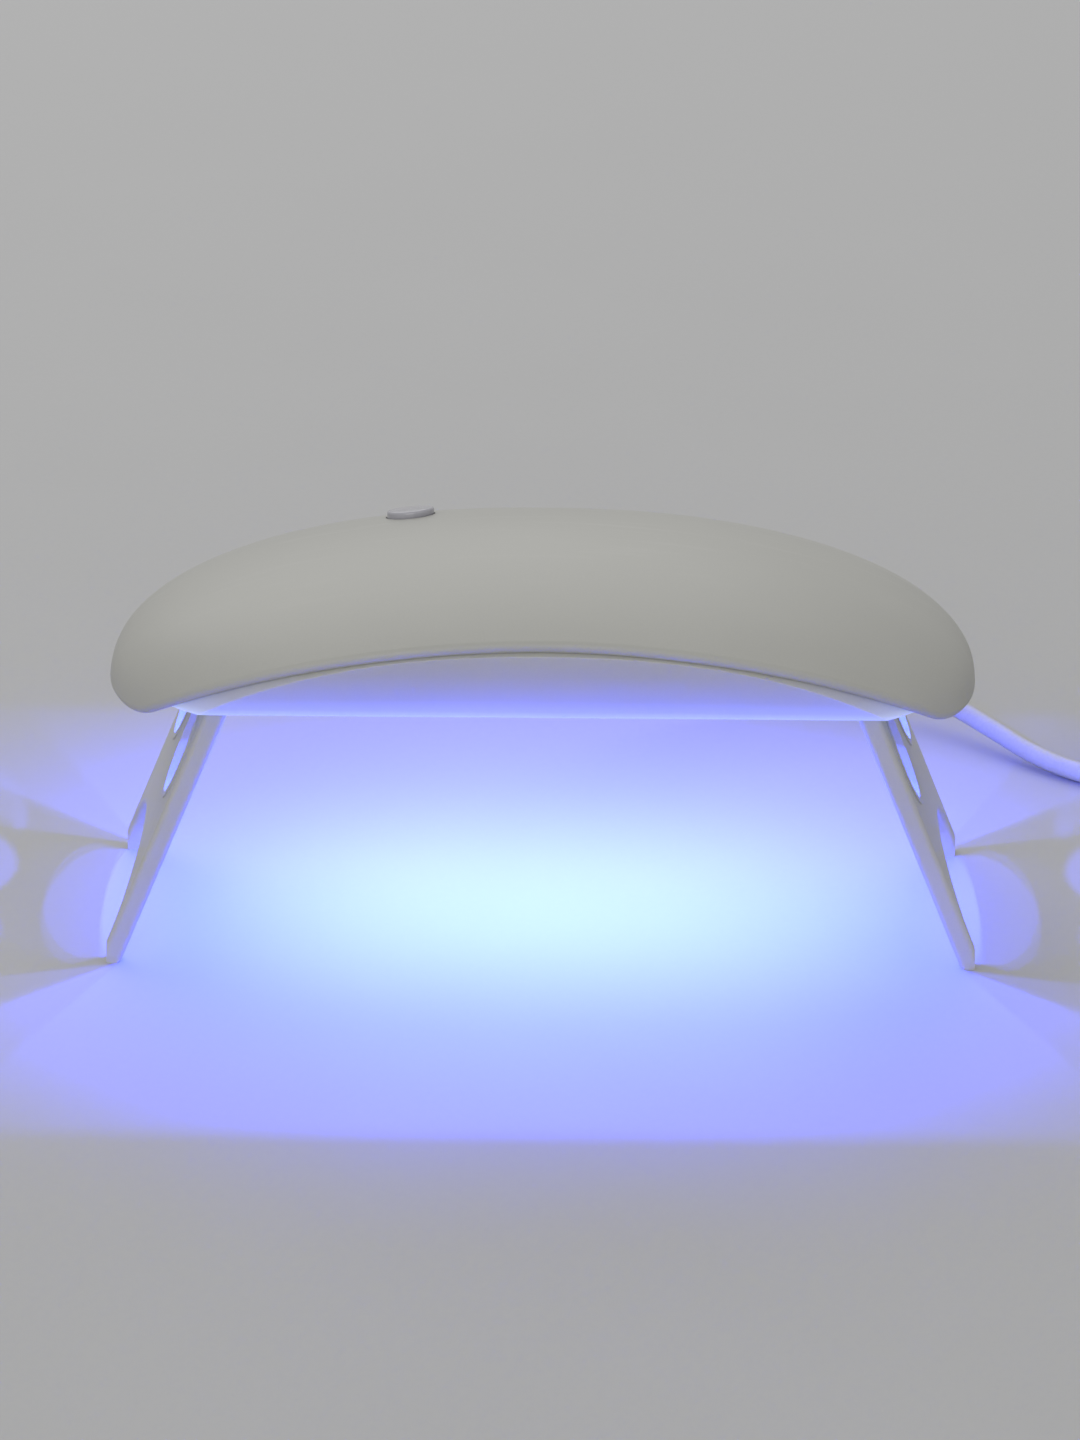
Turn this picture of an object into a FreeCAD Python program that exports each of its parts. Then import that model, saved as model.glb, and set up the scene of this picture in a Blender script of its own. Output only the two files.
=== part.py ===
# Folding UV LED nail lamp: a mouse-shaped moulded cover over a tray with two fold-out
# legs, six ultraviolet emitters in a chromed pan, a timer button and a USB supply lead.
# X runs along the lamp, Y from front to back, Z up; the legs stand open on Z = 0.
import FreeCAD
import Part
import Sketcher
import math
import os
import re

from FreeCAD import Placement, Rotation, Vector

SIZES = [
    # moulded dome of the cover: plan, height and the powers that shape it
    ("dome_length", "134.8"), ("dome_depth", "84"), ("dome_rise", "24.1"),
    ("base_drop", "5.5"), ("plan_power", "2.3"), ("side_power", "1.8"), ("crown_power", "2.25"),
    ("cover_wall", "1.6"), ("lip_rise", "9.2"), ("arch_end_gap", "1.4"),
    ("arch_half_rise", "24"), ("arch_toe", "8"), ("lip_round", "1.1"),
    # tray that closes the cover from below
    ("tray_length", "124"), ("tray_depth", "53.8"), ("tray_drop", "2.4"), ("tray_corner", "9"),
    ("tray_spread", "4.3"), ("tray_wall", "1.5"), ("tray_gap", "0.1"), ("tray_tongue", "2.4"),
    ("tray_end_height", "7.8"), ("deck_thickness", "1.3"),
    # legs, hinges and their stop
    ("leg_width", "50"), ("leg_thickness", "3.2"), ("leg_splay", "22.4"), ("hinge_x", "48.4"),
    ("hinge_height", "44.1"), ("foot_cut", "1.3"), ("foot_round", "0.5"),
    ("leg_arch_rise", "8.5"), ("leg_arch_side", "4"), ("foot_width", "2.8"),
    ("leg_edge_round", "0.9"), ("hole_diameter", "15"), ("hole_spacing", "25.4"), ("hole_drop", "14.5"),
    ("hole_rim", "1.1"), ("hole_rim_height", "0.25"), ("leg_side_gap", "0.35"),
    ("fold_gap", "0.5"), ("stop_gap", "0.1"), ("knuckle_gap", "0.3"), ("pin_diameter", "1.6"),
    ("pin_play", "0.05"), ("pin_seat", "1"),
    # light unit: pan, emitters and their board
    ("pan_length", "80"), ("pan_depth", "38"), ("pan_flare", "4"), ("pan_sheet", "0.5"),
    ("pan_rise", "2.4"), ("pan_flange", "2"), ("pan_corner", "5"), ("lens_diameter", "5.6"),
    ("lens_height", "2.2"), ("lens_end_gap", "8"), ("lens_side_gap", "5.5"),
    ("emitter_side", "7"), ("emitter_height", "1.2"), ("lens_play", "0.3"), ("seat_gap", "0.1"),
    ("board_thickness", "0.8"), ("light_board_length", "76"), ("light_board_depth", "33"),
    # control unit: board, tact switch, chips and the timer button
    ("control_depth", "33"), ("board_spacing", "0.8"),
    ("switch_side", "6"), ("switch_height", "1.4"), ("switch_base", "0.3"),
    ("plunger_diameter", "3.2"), ("plunger_height", "0.6"), ("plunger_play", "0.1"),
    ("button_share", "0.1558"), ("button_y", "15"), ("button_diameter", "7.4"),
    ("button_proud", "1.1"), ("button_round", "0.4"), ("button_play", "0.2"),
    ("button_travel", "0.6"), ("button_flange", "0.9"), ("flange_height", "0.7"),
    ("chip_length", "5"), ("chip_width", "4"), ("chip_height", "1.5"), ("link_length", "10"),
    ("link_width", "2.4"), ("lamp_side", "1.6"), ("lamp_height", "0.8"), ("wire_diameter", "0.9"),
    # screws
    ("screw_diameter", "2"), ("screw_head", "4"), ("screw_head_height", "1.2"),
    ("screw_x", "45.3"), ("screw_y", "15.5"), ("boss_diameter", "5.6"), ("boss_height", "2.6"),
    ("screw_grip", "3.4"), ("board_screw", "1.6"), ("board_screw_head", "3"),
    ("board_screw_head_height", "0.9"), ("board_screw_edge", "2.6"), ("board_screw_y", "8.6"),
    ("board_post", "4"), ("board_screw_grip", "2.2"), ("spacer_diameter", "3.2"),
    # supply socket, plug and lead
    ("port_rise", "1.9"), ("port_face", "31"), ("port_boss_width", "12.4"),
    ("port_boss_height", "6"), ("port_round", "1.5"), ("socket_width", "7.6"),
    ("socket_height", "2.6"), ("socket_depth", "4.2"), ("socket_inset", "0.3"),
    ("socket_wall", "0.3"), ("tongue_width", "3.6"), ("tongue_height", "0.5"), ("plug_gap", "0.2"),
    ("plug_width", "9.4"), ("plug_height", "5.6"), ("plug_length", "11"), ("plug_round", "1.8"),
    ("plug_shell_width", "6.6"), ("plug_shell_height", "1.6"), ("plug_shell_length", "3.6"),
    ("plug_shell_wall", "0.25"), ("relief_length", "10.5"), ("relief_droop", "38"),
    ("relief_diameter", "4.8"), ("relief_tip", "3.9"), ("cable_diameter", "3.3"),
    ("coil_radius", "18"), ("coil_width", "10"), ("coil_height", "9.9"), ("coil_round", "1.6"),
    ("coil_x", "118"), ("coil_y", "66"), ("usb_width", "12"), ("usb_height", "4.5"),
    ("usb_length", "12"), ("usb_wall", "0.4"), ("usb_tongue", "1.9"), ("usb_grip_width", "15.6"),
    ("usb_grip_height", "8"), ("usb_grip_length", "22"), ("usb_grip_round", "2.4"),
    ("usb_relief_length", "6"), ("usb_relief_diameter", "5"), ("usb_x", "147"), ("usb_y", "74"),
]

# Heights that follow from the sizes, each written once as a formula.
LEVELS = {
    "dome_base": "hinge_height - base_drop",
    "lip_height": "hinge_height + lip_rise",
    "tray_bottom": "hinge_height - tray_drop",
    "port_height": "hinge_height + port_rise",
    "button_x": "-button_share * dome_length",
    "roof": "hinge_height + leg_thickness / 2 + fold_gap",
    "deck": "roof + deck_thickness",
    "boss_top": "roof + boss_height",
    "pan_top": "deck + pan_rise",
    "light_board_z": "pan_top + pan_sheet + seat_gap + emitter_height",
    "light_board_top": "light_board_z + board_thickness",
    "control_z": "light_board_top + board_spacing",
    "control_top": "control_z + board_thickness",
    "switch_top": "control_top + switch_height",
    "plunger_top": "switch_top + plunger_height",
    "tray_inset": "cover_wall + tray_gap",
    "arch_half_span": "dome_length / 2 - arch_end_gap",
    "lens_x": "light_board_length / 2 - lens_end_gap",
    "lens_y": "light_board_depth / 2 - lens_side_gap",
    "board_screw_x": "light_board_length / 2 - board_screw_edge",
    "control_length": "light_board_length",
    "leg_flank": "leg_thickness / 2 / cos(leg_splay)",
    "foot_middle": "hinge_x + hinge_height * tan(leg_splay)",
    "foot_reach": "foot_middle + leg_flank - foot_cut",
    "leg_arch_half": "leg_width / 2 - foot_width",
    "slot_half": "leg_width / 2 + leg_side_gap",
    "plug_start": "port_face + plug_gap",
    "plug_end": "plug_start + plug_length",
    "pin_half": "slot_half + pin_seat",
}

OVAL_POINTS = 32
DOME_LEVELS = 12
DOME_LAST_SLOPE = math.radians(88.5)
DOME_SKIRT = 3
BOW_LEVELS = 6
BOW_FIRST_SLOPE = math.radians(50)
RELIEF_RINGS = 7
ARC_SHARE = 0.45

# The lead's free run, from the bent relief to the coil, and from the coil to the plug.
LEAD_ROUTE = [
    (0, 51.95, 42.64), (0, 59.83, 36.48), (3.5, 70, 28.7), (14, 82, 20.5),
    (30, 91, 14.3), (48, 92, 10), (64.5, 85, 6.6), (75.5, 72.5, 4),
    (84.5, 60.5, 1.9), (96, 51.5, 1.65), (110.7, 45.9, 1.65),
]
TAIL_ROUTE = [
    (121.7, 44.9, 8.25), (130, 46.3, 5.8), (137.8, 50.3, 3), (143.8, 57.5, 2.1),
    (146.8, 65.8, 3.1), (147, 74, 4),
]

doc = FreeCAD.newDocument("nail_lamp")
sheet = doc.addObject("Spreadsheet::Sheet", "Sizes")
for row, (alias, number) in enumerate(SIZES, start=1):
    sheet.set(f"A{row}", alias)
    sheet.set(f"B{row}", number)
    sheet.setAlias(f"B{row}", alias)
doc.recompute()

ALIASES = {alias for alias, _ in SIZES}
pieces = []


def formula(text):
    """Size names become references to the sheet's cells, level names their formulas."""
    def swap(word):
        name = word[0]
        if name in LEVELS:
            return f"({formula(LEVELS[name])})"
        return f"Sizes.{name}" if name in ALIASES else name
    return re.sub(r"[a-z_]+", swap, text)


def value(text):
    return float(sheet.evalExpression(formula(text)))


def piece(item, label):
    item.Label = label
    pieces.append(item)
    return item


def bind(item, formulas):
    for field, text in formulas.items():
        item.setExpression(field, formula(text))
    return item


def place(item, at):
    return bind(item, {f"Placement.Base.{axis}": text for axis, text in zip("xyz", at)})


def block(name, low, span):
    """Box from its low corner, with its length, width and height, all as formulas."""
    box = doc.addObject("Part::Box", name)
    bind(box, dict(zip(("Length", "Width", "Height"), span)))
    return place(box, low)


def centred(name, middle, low_z, span):
    low = [f"{middle[0]} - ({span[0]}) / 2", f"{middle[1]} - ({span[1]}) / 2", low_z]
    return block(name, low, span)


def rod(name, at, diameter, height, turn=None):
    cylinder = doc.addObject("Part::Cylinder", name)
    bind(cylinder, {"Radius": f"({diameter}) / 2", "Height": height})
    if turn:
        cylinder.Placement = Placement(Vector(0, 0, 0), turn)
    return place(cylinder, at)


def joined(name, items):
    fusion = doc.addObject("Part::MultiFuse", name)
    fusion.Shapes = items
    return fusion


def less(name, base, tool):
    cut = doc.addObject("Part::Cut", name)
    cut.Base, cut.Tool = base, tool
    return cut


def own_shape(label, shape):
    feature = doc.addObject("Part::Feature", label)
    feature.Shape = shape
    return piece(feature, label)


def corners(half_x, half_y):
    """The four corners of a rectangle about the middle, as pairs of formulas."""
    return [(f"{i} * {half_x}", f"{j} * {half_y}") for i in (-1, 1) for j in (-1, 1)]


# ---------------------------------------------------------------- moulded cover and tray

def superellipse_point(turn, half_x, half_y, power):
    """Point of an oval whose power is over 2, so it is fuller than an ellipse."""
    c, s = math.cos(turn), math.sin(turn)
    x = math.copysign(abs(c) ** (2 / power), c) * half_x
    y = math.copysign(abs(s) ** (2 / power), s) * half_y
    return x, y


def oval(half_x, half_y, z):
    points = []
    for step in range(OVAL_POINTS):
        turn = 2 * math.pi * step / OVAL_POINTS
        x, y = superellipse_point(turn, half_x, half_y, value("plan_power"))
        points.append(Vector(x, y, z))
    curve = Part.BSplineCurve()
    curve.interpolate(Points=points, PeriodicFlag=True)
    return Part.Wire([curve.toShape()])


def dome(inset):
    """Solid crown of ovals: upright at its base, level at its top, with a skirt below."""
    half_x = value("dome_length") / 2 - inset
    half_y = value("dome_depth") / 2 - inset
    rise = value("dome_rise") - inset
    base = value("dome_base")
    sections = [oval(half_x, half_y, base - DOME_SKIRT * share) for share in (1, 0.5)]
    for step in range(DOME_LEVELS):
        slope = DOME_LAST_SLOPE * step / (DOME_LEVELS - 1)
        share = math.cos(slope) ** (2 / value("side_power"))
        height = math.sin(slope) ** (2 / value("crown_power"))
        sections.append(oval(half_x * share, half_y * share, base + rise * height))
    return Part.makeLoft(sections, True, False)


def dome_height(x, y, inset):
    """Height of the dome's surface above the floor at a place in plan."""
    half_x = value("dome_length") / 2 - inset
    half_y = value("dome_depth") / 2 - inset
    power = value("plan_power")
    share = (abs(x / half_x) ** power + abs(y / half_y) ** power) ** (1 / power)
    fall = (1 - share ** value("side_power")) ** (1 / value("crown_power"))
    return value("dome_base") + (value("dome_rise") - inset) * fall


def arch_tool(top, base, toe):
    """Block under an elliptical arch, with flat ends; toe is the rounding where the two meet."""
    reach, depth = value("dome_length"), value("dome_depth")
    centre = top - value("arch_half_rise")
    ellipse = Part.Ellipse(Vector(0, 0, 0), value("arch_half_span"), value("arch_half_rise"))
    disc = Part.Face(Part.Wire([ellipse.toShape()]))
    barrel = disc.extrude(Vector(0, 0, 2 * depth))
    barrel.Placement = Placement(Vector(0, depth, centre), Rotation(Vector(1, 0, 0), 90))
    slab = Part.makeBox(2 * reach, 2 * depth, base, Vector(-reach, -depth, 0))
    tool = barrel.fuse(slab).removeSplitter()
    if not toe:
        return tool
    inner = [e for e in tool.Edges if abs(e.CenterOfMass.z - base) < 0.01
             and abs(e.CenterOfMass.y) < 0.01 and abs(e.CenterOfMass.x) < reach - 1]
    return tool.makeFillet(toe, inner)


def upright(diameter, x, y, low, high):
    return Part.makeCylinder(value(diameter) / 2, high - low, Vector(x, y, low))


def at_corners(half_x, half_y):
    return [(value(x), value(y)) for x, y in corners(half_x, half_y)]


def cover_shape():
    """Bare dome with an arched lip, rounded outside, and posts inside for the screws."""
    lip_tool = arch_tool(value("lip_height"), value("dome_base"), value("arch_toe"))
    outer = dome(0).cut(lip_tool)
    lip = [e for e in outer.Edges if e.BoundBox.ZMax < value("lip_height") + 0.3
           and e.BoundBox.XLength > 0.1]
    outer = outer.makeFillet(value("lip_round"), lip)
    hollow = dome(value("cover_wall"))
    shell = outer.cut(hollow)
    crown = value("dome_base + dome_rise")
    posts = []
    for x, y in at_corners("screw_x", "screw_y"):
        posts.append(upright("boss_diameter", x, y, value("boss_top"), crown))
    for x, y in at_corners("board_screw_x", "board_screw_y"):
        posts.append(upright("board_post", x, y, value("control_top"), crown))
    for post in posts:
        shell = shell.fuse(post.common(hollow))
    for x, y in at_corners("screw_x", "screw_y"):
        shell = shell.cut(upright("screw_diameter", x, y, 0, value("boss_top + screw_grip")))
    for x, y in at_corners("board_screw_x", "board_screw_y"):
        top = value("control_top + board_screw_grip")
        shell = shell.cut(upright("board_screw", x, y, 0, top))
    hole = value("button_diameter + 2 * button_play") / 2
    middle = Vector(value("button_x"), value("button_y"), value("dome_base"))
    return shell.cut(Part.makeCylinder(hole, crown, middle)).removeSplitter()


def rounded_rectangle(half_x, half_y, corner, z):
    """Wire of four straight sides and four quarter arcs."""
    edges = []
    for quarter in range(4):
        turn = Rotation(Vector(0, 0, 1), 90 * quarter)
        long, short = (half_x, half_y) if quarter % 2 == 0 else (half_y, half_x)
        start = Vector(long, -short + corner, 0)
        end = Vector(long, short - corner, 0)
        far = Vector(long - corner, short, 0)
        elbow = Vector(long - corner * (1 - math.sqrt(0.5)), short - corner * (1 - math.sqrt(0.5)), 0)
        lift = Vector(0, 0, z)
        start, end, elbow, far = [turn.multVec(p) + lift for p in (start, end, elbow, far)]
        edges += [Part.LineSegment(start, end).toShape(), Part.Arc(end, elbow, far).toShape()]
    return Part.Wire(edges)


def flared_block(half_x, half_y, corner, low, high, slope):
    """Block that widens upward by the slope in degrees, sides and corners alike."""
    spread = (high - low) * math.tan(math.radians(slope))
    small = rounded_rectangle(half_x, half_y, corner, low)
    large = rounded_rectangle(half_x + spread, half_y + spread, corner + spread, high)
    return Part.makeLoft([small, large], True, True)


def bowed_block(half_x, half_y, corner):
    """Bowl-sided block from the tray's bottom up to the lip, and upright above it."""
    low, high, spread = value("tray_bottom"), value("lip_height"), value("tray_spread")
    start = BOW_FIRST_SLOPE
    wires = []
    for step in range(BOW_LEVELS):
        slope = start + (math.pi / 2 - start) * step / (BOW_LEVELS - 1)
        out = spread * (math.sin(slope) - math.sin(start)) / (1 - math.sin(start))
        rise = (high - low) * (1 - math.cos(slope) / math.cos(start))
        wires.append(rounded_rectangle(half_x + out, half_y + out, corner + out, low + rise))
    bowl = Part.makeLoft(wires, True, False)
    collar = flared_block(half_x + spread, half_y + spread, corner + spread, high,
                          high + value("boss_height"), 0)
    return bowl.fuse(collar)


def leg_slot():
    """Room under the deck for the folded legs, with sloping ends that stop the open legs."""
    slope = math.radians(value("leg_splay"))
    hinge_x, hinge_z, roof = value("hinge_x"), value("hinge_height"), value("roof")
    flank = value("leg_flank + stop_gap / cos(leg_splay)")
    wall_x = value("hinge_x + leg_thickness / 2 + knuckle_gap")
    knee_z = hinge_z - (wall_x - hinge_x - flank) / math.tan(slope)
    low = value("dome_base")
    low_x = hinge_x + flank + (hinge_z - low) * math.tan(slope)
    half = [(wall_x, roof), (wall_x, knee_z), (low_x, low)]
    outline = half + [(-x, z) for x, z in reversed(half)]
    width = value("slot_half")
    points = [Vector(x, -width, z) for x, z in outline]
    return Part.Face(Part.makePolygon(points + points[:1])).extrude(Vector(0, 2 * width, 0))


def tray_shape():
    """Lower housing: flared walls that follow the inside of the cover, a deck, and the port."""
    low, top = value("tray_bottom"), value("lip_height + tray_tongue")
    half_x, half_y = value("tray_length / 2"), value("tray_depth / 2")
    block = bowed_block(half_x, half_y, value("tray_corner"))
    corner = Vector(value("-port_boss_width / 2"), 0, value("port_height - port_boss_height / 2"))
    port = Part.makeBox(value("port_boss_width"), value("port_face"), value("port_boss_height"), corner)
    long_edges = [e for e in port.Edges if e.BoundBox.YLength > value("port_face") - 0.1]
    port = port.makeFillet(value("port_round"), long_edges)
    body = block.fuse(port).common(dome(value("tray_inset")))
    body = body.common(arch_tool(top, low + value("tray_end_height"), 0))
    wall = value("tray_wall")
    inner = bowed_block(half_x - wall, half_y - wall, value("tray_corner") - wall)
    reach = value("dome_length")
    above = Part.makeBox(2 * reach, 2 * reach, reach, Vector(-reach, -reach, value("deck")))
    cavity = inner.common(dome(value("tray_inset + tray_wall"))).common(above)
    body = body.cut(cavity)
    for x, y in at_corners("screw_x", "screw_y"):
        body = body.fuse(upright("boss_diameter", x, y, value("roof"), value("boss_top")))
    window = flared_block(value("pan_length / 2"), value("pan_depth / 2"), value("pan_corner"),
                          value("roof - 1"), value("deck + 1"), 0)
    body = body.cut(leg_slot()).cut(window)
    for x, y in at_corners("screw_x", "screw_y"):
        body = body.cut(upright("screw_diameter", x, y, 0, value("boss_top")))
        body = body.cut(upright("screw_head", x, y, 0, value("roof + screw_head_height + seat_gap")))
    for side in (-1, 1):
        end = Vector(side * value("hinge_x"), -value("pin_half"), value("hinge_height"))
        seat = Part.makeCylinder(value("pin_diameter / 2"), value("2 * pin_half"), end, Vector(0, 1, 0))
        body = body.cut(seat)
    back = value("port_face - socket_inset - socket_depth")
    corner = Vector(value("-socket_width / 2"), back, value("port_height - socket_height / 2"))
    pocket = Part.makeBox(value("socket_width"), value("port_face"), value("socket_height"), corner)
    tails = Part.makeBox(value("socket_width / 2"), value("2 * wire_diameter"), value("deck"),
                         Vector(value("-socket_width / 4"), back, value("port_height")))
    return body.cut(pocket).cut(tails).removeSplitter()


own_shape("top_cover", cover_shape())
own_shape("lower_housing", tray_shape())


# ---------------------------------------------------------------- legs and hinge pins

def plane_of(body, role):
    return next(f for f in body.Origin.OriginFeatures if f.Role == role)


def sketch_on(body, role, name):
    sketch = body.newObject("Sketcher::SketchObject", name)
    sketch.AttachmentSupport = [(plane_of(body, role), "")]
    sketch.MapMode = "FlatFace"
    return sketch


def add_outline(sketch, points):
    for start, end in zip(points, points[1:] + points[:1]):
        sketch.addGeometry(Part.LineSegment(Vector(*start, 0), Vector(*end, 0)), False)


def add_circle(sketch, x, y, diameter):
    """Circle whose diameter is held by the sheet."""
    circle = Part.Circle(Vector(x, y, 0), Vector(0, 0, 1), value(diameter) / 2)
    index = sketch.addGeometry(circle, False)
    constraint = sketch.addConstraint(Sketcher.Constraint("Diameter", index, value(diameter)))
    sketch.setExpression(f"Constraints[{constraint}]", formula(diameter))


def feature(body, kind, sketch, length):
    """Pad or pocket of a sketch, to both sides of its plane."""
    made = body.newObject(f"PartDesign::{kind}", f"{sketch.Name}_{kind.lower()}")
    made.Profile = sketch
    made.Midplane = True
    made.setExpression("Length", formula(length))
    return made


def leg_panel(sketch):
    """Straight sides from the hinge down past the floor, with a flat arch between two feet."""
    half, chord = value("leg_width / 2"), value("leg_arch_half")
    below = value("-hinge_height / cos(leg_splay) - leg_thickness / 2")
    spring = value("(leg_arch_side - hinge_height) / cos(leg_splay)")
    points = [(-chord, spring), (-chord, below), (-half, below), (-half, 0),
              (half, 0), (half, below), (chord, below), (chord, spring)]
    for start, end in zip(points, points[1:]):
        sketch.addGeometry(Part.LineSegment(Vector(*start, 0), Vector(*end, 0)), False)
    oval_arch = Part.Ellipse(Vector(0, spring, 0), chord, value("leg_arch_rise / cos(leg_splay)"))
    sketch.addGeometry(Part.ArcOfEllipse(oval_arch, 0, math.pi), False)


def leg_body(label, side):
    """One leg hanging from its hinge axis, then swung out by the splay; side is 1 or -1."""
    body = doc.addObject("PartDesign::Body", label)
    panel = sketch_on(body, "YZ_Plane", f"{label}_outline")
    leg_panel(panel)
    pad = feature(body, "Pad", panel, "leg_thickness")
    doc.recompute()
    edges = []
    for number, edge in enumerate(pad.Shape.Edges, start=1):
        if edge.BoundBox.XLength < 0.01 and edge.BoundBox.ZLength > 1:
            edges.append(f"Edge{number}")
    rounding = body.newObject("PartDesign::Fillet", f"{label}_rounding")
    rounding.Base = (pad, edges)
    rounding.setExpression("Radius", formula("leg_edge_round"))
    barrel = sketch_on(body, "XZ_Plane", f"{label}_knuckle")
    add_circle(barrel, 0, 0, "leg_thickness")
    feature(body, "Pad", barrel, "leg_width")
    middles = [(value(f"{turn} * hole_spacing / 2"), -value("hole_drop")) for turn in (-1, 1)]
    rims = sketch_on(body, "YZ_Plane", f"{label}_rims")
    for y, z in middles:
        add_circle(rims, y, z, "hole_diameter + 2 * hole_rim")
    feature(body, "Pad", rims, "leg_thickness + 2 * hole_rim_height")
    holes = sketch_on(body, "YZ_Plane", f"{label}_holes")
    for y, z in middles:
        add_circle(holes, y, z, "hole_diameter")
    feature(body, "Pocket", holes, "3 * leg_thickness")
    bore = sketch_on(body, "XZ_Plane", f"{label}_bore")
    add_circle(bore, 0, 0, "pin_diameter + 2 * pin_play")
    feature(body, "Pocket", bore, "2 * leg_width")
    trim = sketch_on(body, "XZ_Plane", f"{label}_foot")
    add_outline(trim, foot_trim(side))
    feature(body, "Pocket", trim, "2 * leg_width")
    body.Placement = Placement(Vector(side * value("hinge_x"), 0, value("hinge_height")),
                               Rotation(Vector(0, -side, 0), value("leg_splay")))
    return piece(body, label)


def foot_trim(side):
    """What the floor and the upright outer edge of the foot take off, in the leg's own frame."""
    far = value("2 * foot_reach")
    reach, knee = value("foot_reach"), value("foot_round")
    inner = value("foot_middle - leg_flank")
    cut = [(reach, far), (reach, knee / 3), (reach - knee / 3, 0), (inner + knee, 0),
           (inner - knee, knee), (-far, knee), (-far, -far), (2 * far, -far), (2 * far, far)]
    back = Rotation(Vector(0, 0, 1), -value("leg_splay"))
    own = []
    for x, z in cut:
        moved = back.multVec(Vector(x - value("hinge_x"), z - value("hinge_height"), 0))
        own.append((side * moved.x, moved.y))
    return own


leg_body("leg_left", -1)
leg_body("leg_right", 1)
for label, side in (("hinge_pin_left", -1), ("hinge_pin_right", 1)):
    along_y = Rotation(Vector(1, 0, 0), -90)
    pin = rod(label, (f"{side} * hinge_x", "-(pin_half)", "hinge_height"),
              "pin_diameter", "2 * (pin_half)", along_y)
    piece(pin, label)


# ---------------------------------------------------------------- light unit

def pan_shape():
    """Chromed pan: a flange on the deck, sloping sides and a plate with a hole for each lens."""
    sheet_metal, flare = value("pan_sheet"), value("pan_flare")
    half_x, half_y, corner = value("pan_length / 2"), value("pan_depth / 2"), value("pan_corner")
    low, high = value("deck"), value("pan_top + pan_sheet")
    slope = -math.degrees(math.atan(flare / (high - low)))
    flange = value("pan_flange")
    rim = flared_block(half_x + flange, half_y + flange, corner + flange, low, low + sheet_metal, 0)
    outer = flared_block(half_x, half_y, corner, low, high, slope)
    inner = flared_block(half_x - sheet_metal, half_y - sheet_metal, corner - sheet_metal / 2,
                         low, high, slope)
    plate = Part.makeBox(2 * half_x, 2 * half_y, sheet_metal, Vector(-half_x, -half_y, high - sheet_metal))
    pan = rim.fuse(outer).cut(inner.cut(plate))
    for x, y in lens_places():
        pan = pan.cut(upright("lens_diameter + 2 * lens_play", x, y, low, high + 1))
    return pan


def lens_places():
    """Two rows of three emitters."""
    return [(column * value("lens_x"), row * value("lens_y"))
            for row in (-1, 1) for column in (-1, 0, 1)]


def lens_profile(sketch):
    """Half section of a domed lens that hangs below its base."""
    radius, depth = value("lens_diameter / 2"), value("lens_height")
    neck = depth / 3
    rise = depth - neck
    arc_radius = (radius ** 2 + rise ** 2) / (2 * rise)
    half = math.asin(radius / arc_radius) / 2
    elbow = (arc_radius * math.sin(half), -depth + arc_radius * (1 - math.cos(half)))
    corners_ = [(0, -depth), (0, 0), (radius, 0), (radius, -neck)]
    for start, end in zip(corners_, corners_[1:]):
        sketch.addGeometry(Part.LineSegment(Vector(*start, 0), Vector(*end, 0)), False)
    arc = Part.Arc(Vector(*corners_[3], 0), Vector(*elbow, 0), Vector(*corners_[0], 0))
    sketch.addGeometry(arc, False)


def emitter(label, x, y):
    body = doc.addObject("PartDesign::Body", label)
    profile = sketch_on(body, "XZ_Plane", f"{label}_lens")
    lens_profile(profile)
    spun = body.newObject("PartDesign::Revolution", f"{label}_dome")
    spun.Profile = profile
    spun.ReferenceAxis = (profile, ["V_Axis"])
    spun.Angle = 360
    base = sketch_on(body, "XY_Plane", f"{label}_base")
    half = value("emitter_side / 2")
    add_outline(base, [(-half, -half), (half, -half), (half, half), (-half, half)])
    pad = body.newObject("PartDesign::Pad", f"{label}_pad")
    pad.Profile = base
    pad.setExpression("Length", formula("emitter_height"))
    body.Placement = Placement(Vector(x, y, value("light_board_z - emitter_height")), Rotation())
    return piece(body, label)


def board(label, length, depth, low):
    plate = centred(f"{label}_plate", ("0", "0"), low, (length, depth, "board_thickness"))
    holes = [rod(f"{label}_hole", (x, y, low), "board_screw", "board_thickness")
             for x, y in corners("board_screw_x", "board_screw_y")]
    return piece(less(label, plate, joined(f"{label}_holes", holes)), label)


def screws(label, places, head_low, head, head_height, shank, top):
    """Pan-head screws driven upward, each with a cross recess, as one group of separate solids."""
    long, short, depth = (f"{share} * ({head})" for share in ("0.6", "0.14", "0.15"))
    made = []
    for x, y in places:
        head_rod = rod(f"{label}_head", (x, y, head_low), head, head_height)
        shank_rod = rod(f"{label}_shank", (x, y, head_low), shank, f"({top}) - ({head_low})")
        bars = [centred(f"{label}_recess", (x, y), head_low, span)
                for span in ((long, short, depth), (short, long, depth))]
        solid = joined(f"{label}_screw", [head_rod, shank_rod])
        made.append(less(f"{label}_driven", solid, joined(f"{label}_cross", bars)))
    group = doc.addObject("Part::Compound", label)
    group.Links = made
    return piece(group, label)


own_shape("reflector_pan", pan_shape().removeSplitter())
for number, (x, y) in enumerate(lens_places(), start=1):
    emitter(f"uv_led_{number}", x, y)
board("light_board", "light_board_length", "light_board_depth", "light_board_z")

# ---------------------------------------------------------------- control unit

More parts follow.
